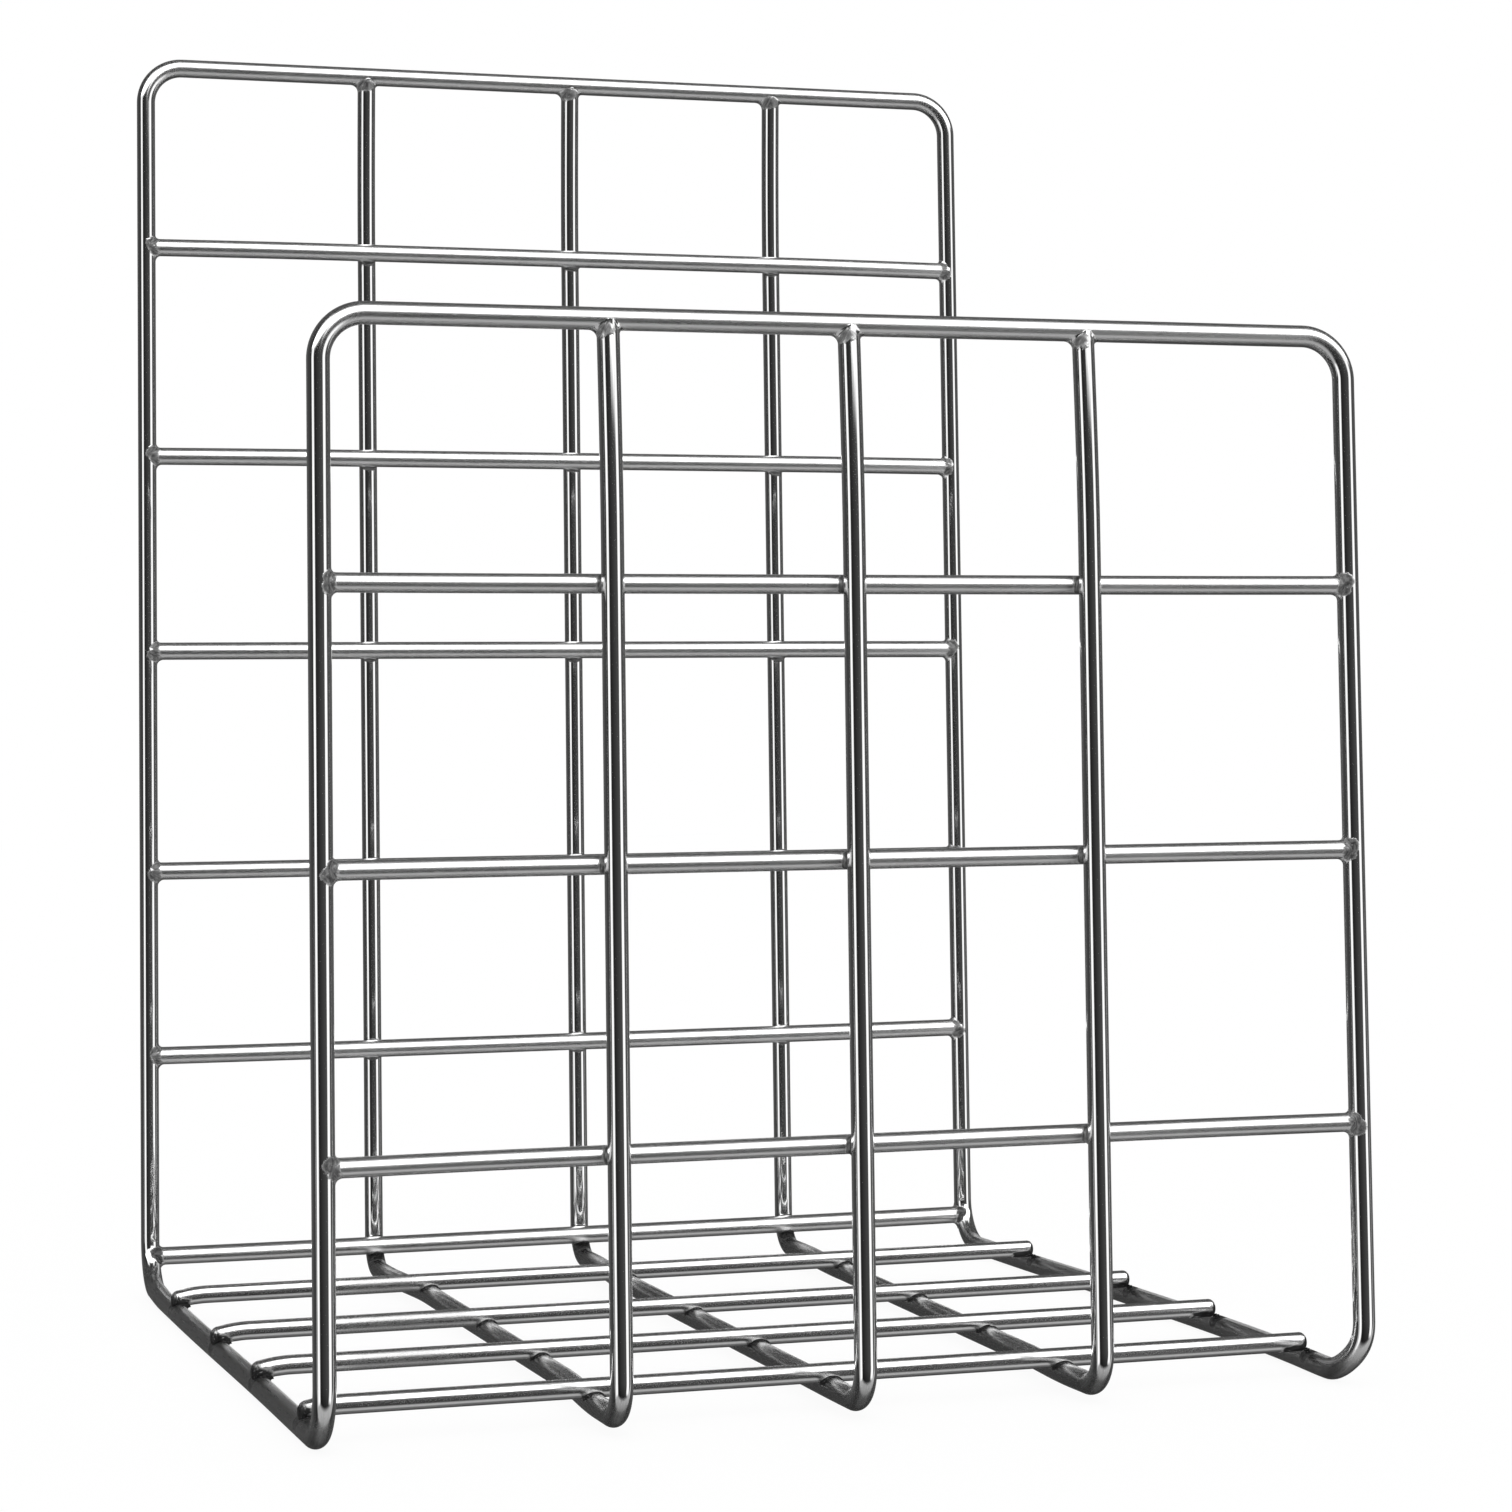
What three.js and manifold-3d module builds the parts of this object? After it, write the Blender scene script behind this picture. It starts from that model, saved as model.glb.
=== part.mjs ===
// Open-ended wire rack: a tall back grid, a floor grid and a lower front grid, of round wire.
// Millimetres, +Z up, +X to the right, front towards -Y. The origin is the middle of the
// footprint, on the plane the frame wire rests on.
import * as THREE from 'three';
import { mergeVertices } from 'three/addons/utils/BufferGeometryUtils.js';
import Module from 'manifold-3d';

const wasm = await Module();
wasm.setup();

// ---------------------------------------------------------------- driving dimensions
// Heights are measured from the centres of the frame wire's floor sides.
const LONG_WIRE_D = 4.2; // frame wire and the three inner wires, which run back to front
const CROSS_WIRE_D = 3.8; // wires that run side to side
const FRAME_WIDTH = 200; // between the centres of the two side wires
const FRAME_DEPTH = 217; // between the planes of the back and the front grid
const BACK_HEIGHT = 283.5; // back rail centre
const FRONT_HEIGHT = 198.5; // front rail centre
const RAIL_CORNER_R = 8.5; // frame wire, bends from rail to upright, on the centreline
const FLOOR_BEND_R = 10.5; // frame wire, bends from the floor into the two grids
const INNER_BEND_R = 7; // the same bends of the inner wires

const INNER_OUT = 1.6; // inner wires lie this far outside the planes of the two upright grids
const INNER_RISE = 1.1; // on the floor the inner wires lie this far above the frame wire
const CROSS_IN = 1.8; // upright cross wires lie this far inside those planes
const FLOOR_LAP = 3.9; // floor cross wires lie this far above the frame wire
const JOINT_INSET = 1; // butted ends stop this far short of the frame wire's centre
const GAP = 0.3; // clearance between two wires at a weld

// Wire ends are set towards the frame wire
const END_LENGTH = 40; // length of the gentle bend at an upright end
const INNER_END_SET = 1.5;
const CROSS_END_SET = 1.6;
const LOW_END_SET = 1; // lowest back cross wire, which meets the frame wire in its bend
const FLOOR_END_LENGTH = 8; // length of the downward curl, floor cross wires, left ends only
const FLOOR_END_SET = 1.1;

// Course of each inner wire: name, then x at the back rail, the back bend, the back and front
// floor stations, the front bend and the front rail
const INNER_WIRES = [
  ['inner_wire_left', -47.4, -47.3, -45.0, -45.0, -46.9, -46.9],
  ['inner_wire_middle', 2.8, 2.6, 0.6, -0.6, -1.0, -0.8],
  ['inner_wire_right', 54.0, 54.0, 52.2, 47.6, 45.5, 45.9],
];
const STATION_Y = 60; // the two floor stations are this far behind and in front of the middle

// Heights of the upright cross wires
const BACK_CROSS_Z = [240.8, 191.7, 146.1, 95.0, 52.4, 6.5];
const FRONT_CROSS_Z = [150.5, 99.8, 47.9];
// Floor cross wires: y, x of the left end, x of the right end
const FLOOR_CROSS = [
  [59.6, -102.3, 98.8],
  [4.1, -102.4, 99.4],
  [-42.3, -101.9, 98.8],
  [-89.6, -101.4, 96.6],
];

// The floor sides of the frame wire bow outwards. Each bow grows from riseStart over
// riseLength and dies away from fallStart over fallLength, going back along y.
const BOW = 0.7;
const LEFT_BOW = { riseStart: -60, riseLength: 110, fallStart: 78, fallLength: 26 };
const RIGHT_BOW = { riseStart: -75, riseLength: 60, fallStart: 20, fallLength: 50 };
// The front right bend leans inwards, by about `amount`. The lean sets in over `onset` behind
// the front plane, the more sharply the higher onsetPower, and fades over `fade`.
const LEAN = { amount: 3, onset: 4.5, onsetPower: 1.5, fade: 30 };

const SIDES = 16; // facets round a wire, with flats to the front, back, top and bottom
const BEND_STEPS = 7; // steps in a quarter turn
const END_STEPS = 5; // steps along a set end
const FRAME_FLOOR_STEP = 11; // longest step of the frame wire on the floor
const INNER_FLOOR_STEP = 14; // the same for the inner wires
const MIN_SPLIT_LENGTH = 20; // shorter level steps stay whole

const FINISHES = {
  frame: { color: 0xb4b6b8, roughness: 0.22 },
  inner: { color: 0xb0b2b4, roughness: 0.24 },
  uprightCross: { color: 0xc2c4c6, roughness: 0.2 },
  floorCross: { color: 0xbec0c2, roughness: 0.2 },
};

const LONG_R = LONG_WIRE_D / 2;
const CROSS_R = CROSS_WIRE_D / 2;
const HALF_WIDTH = FRAME_WIDTH / 2;
const HALF_DEPTH = FRAME_DEPTH / 2;
const BEND_ZONE_Y = HALF_DEPTH - 12; // beyond this y an inner wire counts as part of a bend
const TOLERANCE = 1e-6;
const X = new THREE.Vector3(1, 0, 0);
const Y = new THREE.Vector3(0, 1, 0);
const Z = new THREE.Vector3(0, 0, 1);

// ---------------------------------------------------------------- sweeping a wire
// A wire is a list of stations { point, tangent, normal }, one for each ring of vertices.
// This curve hands ExtrudeGeometry exactly those rings.
class WirePath extends THREE.Curve {
  constructor(stations) {
    super();
    this.stations = stations;
  }
  getSpacedPoints() {
    return this.stations.map((station) => station.point);
  }
  computeFrenetFrames() {
    return {
      tangents: this.stations.map((station) => station.tangent),
      normals: this.stations.map((station) => station.normal),
      binormals: this.stations.map(({ tangent, normal }) =>
        new THREE.Vector3().crossVectors(tangent, normal).normalize()),
    };
  }
}

// Round section: a regular polygon whose opposite flats are the wire's diameter apart
function section(radius) {
  const cornerRadius = radius / Math.cos(Math.PI / SIDES);
  const corners = Array.from({ length: SIDES }, (_, i) => {
    const angle = ((i + 0.5) / SIDES) * 2 * Math.PI;
    return new THREE.Vector2(cornerRadius * Math.cos(angle), cornerRadius * Math.sin(angle));
  });
  const shape = new THREE.Shape(corners);
  shape.closePath();
  return shape;
}

// A closed wire runs back into itself: its end caps are left out and its end rings merge
function sweep(stations, radius, closed = false) {
  const extrusion = new THREE.ExtrudeGeometry(section(radius), {
    steps: stations.length - 1,
    extrudePath: new WirePath(stations),
    curveSegments: 1,
  });
  let positions = extrusion.getAttribute('position').array;
  if (closed) {
    const { start, count } = extrusion.groups.find((group) => group.materialIndex === 1);
    positions = positions.slice(start * 3, (start + count) * 3);
  }
  const soup = new THREE.BufferGeometry();
  soup.setAttribute('position', new THREE.BufferAttribute(positions, 3));
  const merged = mergeVertices(soup, 1e-4);
  return new wasm.Manifold(
    new wasm.Mesh({
      numProp: 3,
      vertProperties: new Float32Array(merged.getAttribute('position').array),
      triVerts: new Uint32Array(merged.getIndex().array),
    }),
  );
}

// ---------------------------------------------------------------- paths
// Rounds the corners of a polyline and returns stations without normals. A corner is
// [x, y, z, bend radius]; the two ends of an open path have no radius.
// A closed path starts and ends halfway along its first leg.
function roundedPath(corners, closed = false) {
  const points = corners.map(([x, y, z]) => new THREE.Vector3(x, y, z));
  const count = points.length;
  const pointAt = (i) => points[i % count];
  const legDirection = (i) => pointAt(i + 1).clone().sub(pointAt(i)).normalize();
  const start = points[0].clone();
  if (closed) start.add(points[1]).multiplyScalar(0.5);

  const stations = [{ point: start, tangent: legDirection(0) }];
  const lastBend = closed ? count : count - 2;
  for (let i = 1; i <= lastBend; i++) {
    const before = legDirection(i - 1);
    const after = legDirection(i);
    const turn = before.angleTo(after);
    const radius = corners[i % count][3];
    const axis = new THREE.Vector3().crossVectors(before, after).normalize();
    const toCentre = new THREE.Vector3().crossVectors(axis, before);
    const enter = pointAt(i).clone().addScaledVector(before, -radius * Math.tan(turn / 2));
    const centre = enter.clone().addScaledVector(toCentre, radius);
    for (let k = 0; k <= BEND_STEPS; k++) {
      const rotation = new THREE.Quaternion().setFromAxisAngle(axis, (turn * k) / BEND_STEPS);
      stations.push({
        point: enter.clone().sub(centre).applyQuaternion(rotation).add(centre),
        tangent: before.clone().applyQuaternion(rotation),
      });
    }
  }
  stations.push(
    closed
      ? { point: start.clone(), tangent: legDirection(0) }
      : { point: points[count - 1], tangent: legDirection(count - 2) },
  );
  return stations;
}

// Carries the normal from ring to ring without twist
function carryNormals(stations, first) {
  const normal = first.clone();
  stations.forEach((station, i) => {
    if (i > 0) {
      const previous = stations[i - 1].tangent;
      normal.applyQuaternion(
        new THREE.Quaternion().setFromUnitVectors(previous, station.tangent),
      );
    }
    station.normal = normal.clone();
  });
  return stations;
}

// Puts extra rings on the floor stretches, where the wire also runs sideways
function refineFloor(stations, longestStep) {
  const refined = [stations[0]];
  for (let i = 1; i < stations.length; i++) {
    const from = stations[i - 1];
    const to = stations[i];
    const isFloor =
      Math.abs(from.point.z - to.point.z) < TOLERANCE &&
      Math.abs(from.point.y - to.point.y) > MIN_SPLIT_LENGTH;
    const steps = isFloor ? Math.ceil(from.point.distanceTo(to.point) / longestStep) : 1;
    for (let k = 1; k < steps; k++) {
      refined.push({
        point: from.point.clone().lerp(to.point, k / steps),
        tangent: from.tangent.clone().lerp(to.tangent, k / steps).normalize(),
      });
    }
    refined.push(to);
  }
  return refined;
}

// Smooth step from 0 to 1
function ease(value) {
  const share = Math.min(1, Math.max(0, value));
  return share * share * (3 - 2 * share);
}

// Share of the end set at a distance from the tip: a springy wire held at END_LENGTH
function drawnShare(distance) {
  const rest = 1 - Math.min(1, Math.max(0, distance / END_LENGTH));
  return (3 * rest * rest - rest * rest * rest) / 2;
}

// The same for a short end that curls down
const curledShare = (distance) => Math.max(0, 1 - distance / FLOOR_END_LENGTH) ** 2;

// Distances of the rings of a set end from its tip, the tip included
const endDistances = (length) =>
  Array.from({ length: END_STEPS + 1 }, (_, k) => (length * k) / END_STEPS);

// ---------------------------------------------------------------- frame wire, one loop
function bow(y, { riseStart, riseLength, fallStart, fallLength }) {
  return BOW * ease((y - riseStart) / riseLength) * (1 - ease((y - fallStart) / fallLength));
}

function frontRightLean(y) {
  const distance = y + HALF_DEPTH;
  if (distance <= 0) return 0;
  const onset = 1 - Math.exp(-((distance / LEAN.onset) ** LEAN.onsetPower));
  return LEAN.amount * onset * Math.exp(-((distance / LEAN.fade) ** 2));
}

// How far the floor sides run outside the straight line between the corners
const leftOffset = (y) => bow(y, LEFT_BOW);
const rightOffset = (y) => bow(y, RIGHT_BOW) - frontRightLean(y);

// Moves the floor sides sideways and turns their rings to follow
function bowFloorSides(stations) {
  const delta = 0.01; // half the span over which the slope is taken
  for (const { point, tangent, normal } of stations) {
    const isFloorSide =
      point.z < FLOOR_BEND_R + TOLERANCE &&
      Math.abs(Math.abs(point.x) - HALF_WIDTH) < TOLERANCE;
    if (!isFloorSide) continue;
    const outward = Math.sign(point.x);
    const offset = outward < 0 ? leftOffset : rightOffset;
    const rise = offset(point.y + delta) - offset(point.y - delta);
    const slope = (outward * rise) / (2 * delta);
    point.x += outward * offset(point.y);
    tangent.addScaledVector(X, slope * tangent.y).normalize();
    normal.addScaledVector(tangent, -normal.dot(tangent)).normalize();
  }
  return stations;
}

function frameStations() {
  const path = roundedPath(
    [
      [-HALF_WIDTH, HALF_DEPTH, BACK_HEIGHT, RAIL_CORNER_R],
      [HALF_WIDTH, HALF_DEPTH, BACK_HEIGHT, RAIL_CORNER_R],
      [HALF_WIDTH, HALF_DEPTH, 0, FLOOR_BEND_R],
      [HALF_WIDTH, -HALF_DEPTH, 0, FLOOR_BEND_R],
      [HALF_WIDTH, -HALF_DEPTH, FRONT_HEIGHT, RAIL_CORNER_R],
      [-HALF_WIDTH, -HALF_DEPTH, FRONT_HEIGHT, RAIL_CORNER_R],
      [-HALF_WIDTH, -HALF_DEPTH, 0, FLOOR_BEND_R],
      [-HALF_WIDTH, HALF_DEPTH, 0, FLOOR_BEND_R],
    ],
    true,
  );
  return bowFloorSides(carryNormals(refineFloor(path, FRAME_FLOOR_STEP), Z));
}

// ---------------------------------------------------------------- inner wires, rail to rail
// Adds the rings of a set end behind the first station
function withEndRings(stations) {
  const [tip, next] = stations;
  const direction = next.point.clone().sub(tip.point).normalize();
  const added = endDistances(END_LENGTH).slice(1).map((distance) => ({
    point: tip.point.clone().addScaledVector(direction, distance),
    tangent: tip.tangent.clone(),
  }));
  return [tip, ...added, ...stations.slice(1)];
}

// x of an inner wire at a point of its path
function innerX({ y, z }, [backRail, backBend, floorBack, floorFront, frontBend, frontRail]) {
  const between = (from, to, share) => from + (to - from) * share;
  if (y > BEND_ZONE_Y) return between(backBend, backRail, Math.max(0, z / BACK_HEIGHT));
  if (y < -BEND_ZONE_Y) return between(frontBend, frontRail, Math.max(0, z / FRONT_HEIGHT));
  const easedLength = BEND_ZONE_Y - STATION_Y;
  if (y >= STATION_Y) return between(backBend, floorBack, ease((BEND_ZONE_Y - y) / easedLength));
  if (y >= -STATION_Y) return between(floorBack, floorFront, (STATION_Y - y) / (2 * STATION_Y));
  return between(floorFront, frontBend, ease((-STATION_Y - y) / easedLength));
}

function innerStations(course) {
  const planeY = HALF_DEPTH + INNER_OUT;
  const path = roundedPath([
    [0, planeY, BACK_HEIGHT - JOINT_INSET],
    [0, planeY, INNER_RISE, INNER_BEND_R],
    [0, -planeY, INNER_RISE, INNER_BEND_R],
    [0, -planeY, FRONT_HEIGHT - JOINT_INSET],
  ]);
  const backDone = withEndRings(refineFloor(path, INNER_FLOOR_STEP));
  const rings = withEndRings(backDone.reverse()).reverse();
  return rings.map(({ point, tangent }) => {
    const railHeight = point.y > 0 ? BACK_HEIGHT : FRONT_HEIGHT;
    const set = INNER_END_SET * drawnShare(railHeight - point.z - JOINT_INSET);
    const y = point.y - Math.sign(point.y) * set;
    return {
      point: new THREE.Vector3(innerX(point, course), y, point.z),
      tangent,
      normal: new THREE.Vector3().crossVectors(X, tangent).normalize(),
    };
  });
}

// ---------------------------------------------------------------- scene graph
const rack = new THREE.Group();
rack.position.set(0, 0, LONG_R); // lifts the frame wire onto the resting plane

function addGrid(y, z) {
  const grid = new THREE.Group();
  grid.position.set(0, y, z);
  rack.add(grid);
  return grid;
}

const backGrid = addGrid(HALF_DEPTH - CROSS_IN, 0);
const frontGrid = addGrid(-HALF_DEPTH + CROSS_IN, 0);
const floorGrid = addGrid(0, FLOOR_LAP);

// Solid and origin are both given in the rack's frame
function addWire(parent, name, solid, origin, finish) {
  const { vertProperties, triVerts } = solid.getMesh();
  const geometry = new THREE.BufferGeometry();
  geometry.setAttribute('position', new THREE.BufferAttribute(new Float32Array(vertProperties), 3));
  geometry.setIndex(new THREE.BufferAttribute(new Uint32Array(triVerts), 1));
  geometry.translate(-origin.x, -origin.y, -origin.z);
  geometry.computeVertexNormals();

  const material = new THREE.MeshStandardMaterial({ ...finish, metalness: 1 });
  const mesh = new THREE.Mesh(geometry, material);
  mesh.name = name;
  mesh.position.copy(origin);
  if (parent !== rack) mesh.position.sub(parent.position);
  parent.add(mesh);
}

// ---------------------------------------------------------------- frame and inner wires
const frame = frameStations();
const frameCutter = sweep(frame, LONG_R + GAP, true);
addWire(rack, 'perimeter_frame', sweep(frame, LONG_R, true), new THREE.Vector3(), FINISHES.frame);

const innerCutters = INNER_WIRES.map(([name, ...course]) => {
  const stations = innerStations(course);
  const floorBack = course[2];
  const solid = sweep(stations, LONG_R).subtract(frameCutter);
  addWire(rack, name, solid, new THREE.Vector3(floorBack, 0, 0), FINISHES.inner);
  return sweep(stations, LONG_R + GAP);
});

// ---------------------------------------------------------------- cross wires
// Runs along X through the points, cut clear of the frame wire and the inner wires
function addCrossWire(grid, name, points, normal, origin, finish) {
  const stations = points.map((point) => ({ point, tangent: X, normal }));
  const solid = [frameCutter, ...innerCutters].reduce(
    (wire, cutter) => wire.subtract(cutter),
    sweep(stations, CROSS_R),
  );
  addWire(grid, name, solid, origin, finish);
}

// `side` is 1 for the back grid and -1 for the front grid
function addUprightCrossWire(grid, name, side, z, endSet) {
  const reach = HALF_WIDTH - JOINT_INSET;
  const distances = endDistances(END_LENGTH);
  const ringXs = [
    ...distances.map((distance) => -reach + distance),
    ...distances.reverse().map((distance) => reach - distance),
  ];
  const points = ringXs.map((x) => {
    const set = endSet * (drawnShare(x + reach) + drawnShare(reach - x));
    return new THREE.Vector3(x, side * (HALF_DEPTH - (CROSS_IN - set)), z);
  });
  const origin = new THREE.Vector3(0, side * (HALF_DEPTH - CROSS_IN), z);
  addCrossWire(grid, name, points, Z, origin, FINISHES.uprightCross);
}

function addFloorCrossWire(name, y, left, right) {
  const ringXs = [...endDistances(FLOOR_END_LENGTH).map((distance) => left + distance), right];
  const points = ringXs.map(
    (x) => new THREE.Vector3(x, y, FLOOR_LAP - FLOOR_END_SET * curledShare(x - left)),
  );
  const origin = new THREE.Vector3(0, y, FLOOR_LAP);
  addCrossWire(floorGrid, name, points, Y, origin, FINISHES.floorCross);
}

BACK_CROSS_Z.forEach((z, i) => {
  const isLowest = i === BACK_CROSS_Z.length - 1;
  const endSet = isLowest ? LOW_END_SET : CROSS_END_SET;
  addUprightCrossWire(backGrid, `back_cross_wire_${i + 1}`, 1, z, endSet);
});

FRONT_CROSS_Z.forEach((z, i) => {
  addUprightCrossWire(frontGrid, `front_cross_wire_${i + 1}`, -1, z, CROSS_END_SET);
});

FLOOR_CROSS.forEach(([y, left, right], i) => {
  addFloorCrossWire(`floor_cross_wire_${i + 1}`, y, left, right);
});

export default rack;
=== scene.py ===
import math
from types import SimpleNamespace

import bmesh
import bpy
import numpy as np
from mathutils import Matrix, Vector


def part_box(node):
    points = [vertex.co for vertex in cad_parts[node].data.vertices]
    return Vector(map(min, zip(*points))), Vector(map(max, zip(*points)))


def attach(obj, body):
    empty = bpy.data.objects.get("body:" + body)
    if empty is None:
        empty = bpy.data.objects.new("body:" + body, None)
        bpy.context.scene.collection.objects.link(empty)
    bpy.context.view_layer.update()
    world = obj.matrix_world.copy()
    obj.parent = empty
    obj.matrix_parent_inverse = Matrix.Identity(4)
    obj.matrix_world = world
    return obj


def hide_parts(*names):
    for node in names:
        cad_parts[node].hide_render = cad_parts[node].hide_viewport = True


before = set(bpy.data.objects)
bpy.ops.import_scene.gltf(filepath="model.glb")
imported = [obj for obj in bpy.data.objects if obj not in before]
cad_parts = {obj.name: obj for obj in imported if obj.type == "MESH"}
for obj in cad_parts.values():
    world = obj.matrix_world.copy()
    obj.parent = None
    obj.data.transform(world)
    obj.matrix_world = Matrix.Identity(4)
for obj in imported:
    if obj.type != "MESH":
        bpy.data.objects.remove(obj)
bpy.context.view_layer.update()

# ---------------------------------------------------------------- sizes, in millimetres
MM = 0.001


def box_mm(node):
    low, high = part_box(node)
    return np.array(low) / MM, np.array(high) / MM


def middle(box, axis):
    return float(box[0][axis] + box[1][axis]) / 2


frame_top = box_mm("perimeter_frame")[1]
back_boxes = [box_mm(f"back_cross_wire_{i}") for i in range(1, 7)]
front_boxes = [box_mm(f"front_cross_wire_{i}") for i in range(1, 4)]
floor_boxes = [box_mm(f"floor_cross_wire_{i}") for i in range(1, 5)]

R_CROSS = float(back_boxes[0][1][2] - back_boxes[0][0][2]) / 2  # nominal cross wire radius
R_LONG = 2.1  # radius of the frame and inner wires
HALF_W = 100.0  # straight line of the frame sides; the floor sides bow past it
HALF_D = float(frame_top[1]) - R_LONG
FLOOR_Z = R_LONG  # centre of the frame wire on the floor
BACK_Z = float(frame_top[2]) - R_LONG  # back rail centre
FRONT_Z = FLOOR_Z + 198.5  # front rail centre
RAIL_R = 8.5  # bend radii of the wire centres
FLOOR_R = 10.5
INNER_R = 7.0
INNER_OUT = 1.6  # inner wires stand outside the frame's plane
INNER_RISE = 1.1  # and above its floor sides
CROSS_IN = 1.8  # back and front cross wires lie inside the frame's plane
LAP = 3.9  # floor cross wires lie above the frame's floor sides
INNER_END_SET = 1.5  # how far wire ends are drawn over to the frame wire
CROSS_END_SET = 1.6
LOW_END_SET = 1.0  # the same for the sixth back cross wire
END_LENGTH = 40.0
FLOOR_END_SET = 1.1  # drop of a floor cross wire's left end
FLOOR_END_LENGTH = 8.0
JOINT_INSET = 1.0
BOW = 0.7  # outward bow of the floor sides
LEAN = 3.0  # inward lean of the right floor side near the front

# x of each inner wire: back top, back bend, two floor stations, front bend, front top
INNER = {
    "inner_wire_left": [-47.4, -47.3, -45.0, -45.0, -46.9, -46.9],
    "inner_wire_middle": [2.8, 2.6, 0.6, -0.6, -1.0, -0.8],
    "inner_wire_right": [54.0, 54.0, 52.2, 47.6, 45.5, 45.9],
}
FLOOR_STATIONS = (60.0, -60.0)  # y of the two floor stations
BEND_ZONE = 12.0  # an inner wire counts as upright this near the frame's plane

BACK_ROWS = [middle(box, 2) for box in back_boxes]
FRONT_ROWS = [middle(box, 2) for box in front_boxes]
FLOOR_ROWS = [(middle(box, 1), float(box[0][0]), float(box[1][0])) for box in floor_boxes]

# Wire radius against nominal
BACK_THICKNESS = 1.06
FRONT_THICKNESS = 0.95
FLOOR_THICKNESS = (1.0, 0.99, 0.975, 0.965)

# Mesh spacing
SEG = 48  # points round a wire
BEND_STEPS = 26
FINE = 0.5  # ring spacing near a joint
REACH = 5.5  # how far from a joint the fine spacing goes
LEAD = 6.5  # length at each wire end that is built as a joint or a tip
LEAD_STEPS = 7
FILLET_STEPS = 9
PHI = np.arange(SEG) * 2 * math.pi / SEG
EX, _, EZ = np.eye(3)


# ---------------------------------------------------------------- shaping functions
def ease(share):
    share = np.clip(share, 0.0, 1.0)
    return share * share * (3 - 2 * share)


def ramp(value, start, length):
    return ease((value - start) / length)


def unit(vector):
    vector = np.asarray(vector, float)
    return vector / np.maximum(np.linalg.norm(vector, axis=-1, keepdims=True), 1e-12)


def across(vectors, axis):
    """The part of each vector that is square to a unit axis."""
    return vectors - (vectors @ axis)[:, None] * axis


def wobble(seed, x, scale=1.0):
    """A smooth repeatable wave between about -1 and 1."""
    random = np.random.RandomState(seed)
    rates = random.uniform(0.6, 1.7, 5) * scale
    phases = random.uniform(0, 6.283, 5)
    weights = random.uniform(0.4, 1.0, 5)
    x = np.asarray(x, float)
    wave = np.zeros_like(x)
    for rate, phase, weight in zip(rates, phases, weights):
        wave = wave + weight * np.sin(rate * x + phase)
    return wave / weights.sum() * 1.6


def drawn(distance):
    """Share of the end set at a distance from the tip, as in a springy wire."""
    rest = 1 - np.clip(np.asarray(distance, float) / END_LENGTH, 0, 1)
    return (3 * rest * rest - rest**3) / 2


def curled(distance):
    return np.clip(1 - np.asarray(distance, float) / FLOOR_END_LENGTH, 0, 1.3) ** 2


def bow(left, y):
    """How far a floor side of the frame wire runs outside the straight line."""
    y = np.asarray(y, float)
    if left:
        return BOW * ramp(y, -60, 110) * (1 - ramp(y, 78, 26))
    distance = np.maximum(y + HALF_D, 0)
    lean = LEAN * (1 - np.exp(-((distance / 4.5) ** 1.5))) * np.exp(-((distance / 30) ** 2))
    return BOW * ramp(y, -75, 60) * (1 - ramp(y, 20, 50)) - lean


def side_x(side, y):
    return side * (HALF_W + float(bow(side < 0, y)))


def low_bend(z):
    """The frame wire at the back at a height: its axis's y, and the way it runs there."""
    sine = min(max((FLOOR_R - (z - FLOOR_Z)) / FLOOR_R, 0.0), 1.0)
    cosine = math.sqrt(1 - sine * sine)
    return HALF_D - FLOOR_R * (1 - cosine), np.array([0.0, sine, cosine])


def inner_x(name, y, z):
    """x of an inner wire's axis."""
    back_top, back_bend, floor_back, floor_front, front_bend, front_top = INNER[name]
    y, z = np.broadcast_arrays(np.asarray(y, float), np.asarray(z, float))
    out = np.empty(y.shape)
    edge = HALF_D - BEND_ZONE
    back = y > edge
    front = y < -edge
    for upright, bend, top, top_z in (
        (back, back_bend, back_top, BACK_Z),
        (front, front_bend, front_top, FRONT_Z),
    ):
        rise = np.maximum(0, (z[upright] - FLOOR_Z) / (top_z - FLOOR_Z))
        out[upright] = bend + (top - bend) * rise
    on_floor = ~(back | front)
    knots = [
        (edge, back_bend),
        (FLOOR_STATIONS[0], floor_back),
        (FLOOR_STATIONS[1], floor_front),
        (-edge, front_bend),
    ]
    for i in range(3):
        (start_y, start_x), (end_y, end_x) = knots[i], knots[i + 1]
        here = on_floor & (y <= start_y) & (y >= end_y)
        share = (start_y - y[here]) / (start_y - end_y)
        # straight between the stations, eased outside them
        out[here] = start_x + (end_x - start_x) * (share if i == 1 else ease(share))
    return out


# ---------------------------------------------------------------- colour of welds and painted shade
WELD_AND_SHADE_SPOTS = []  # (point, radius) of each darkened spot

# Spots at a floor cross wire's ends: end (0 left, 1 right), x, y, z from the end, radius
FLOOR_END_SPOTS = [
    (0, 1.4, 0.0, 1.6, 3.3),
    # the right end's spots are welds and painted shade on the end face and underside
    (1, -0.6, 0.0, 1.7, 2.2),
    (1, 0.6, -0.7, LAP - 0.7, 2.6),
    (1, -1.2, -1.5, LAP - 1.7, 1.6),
    (1, -2.6, -1.5, LAP - 1.7, 1.6),
    (1, -4.0, -1.5, LAP - 1.7, 1.6),
]


def note_weld_and_shade(point, radius):
    WELD_AND_SHADE_SPOTS.append((np.array(point, float), float(radius)))


def note_foot_welds(y, z, z_rate, side_rate, rise_rate):
    """Two spots at each end of a back or front cross wire, varied by the three rates."""
    for side in (-1, 1):
        for rise in (-0.8, 0.7):
            vary = math.sin(z_rate * z + side_rate * side + rise_rate * rise)
            place = (side * (HALF_W - 1.3 + 0.3 * vary), y, z + rise)
            note_weld_and_shade(place, 1.6 + 0.25 * vary)


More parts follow.
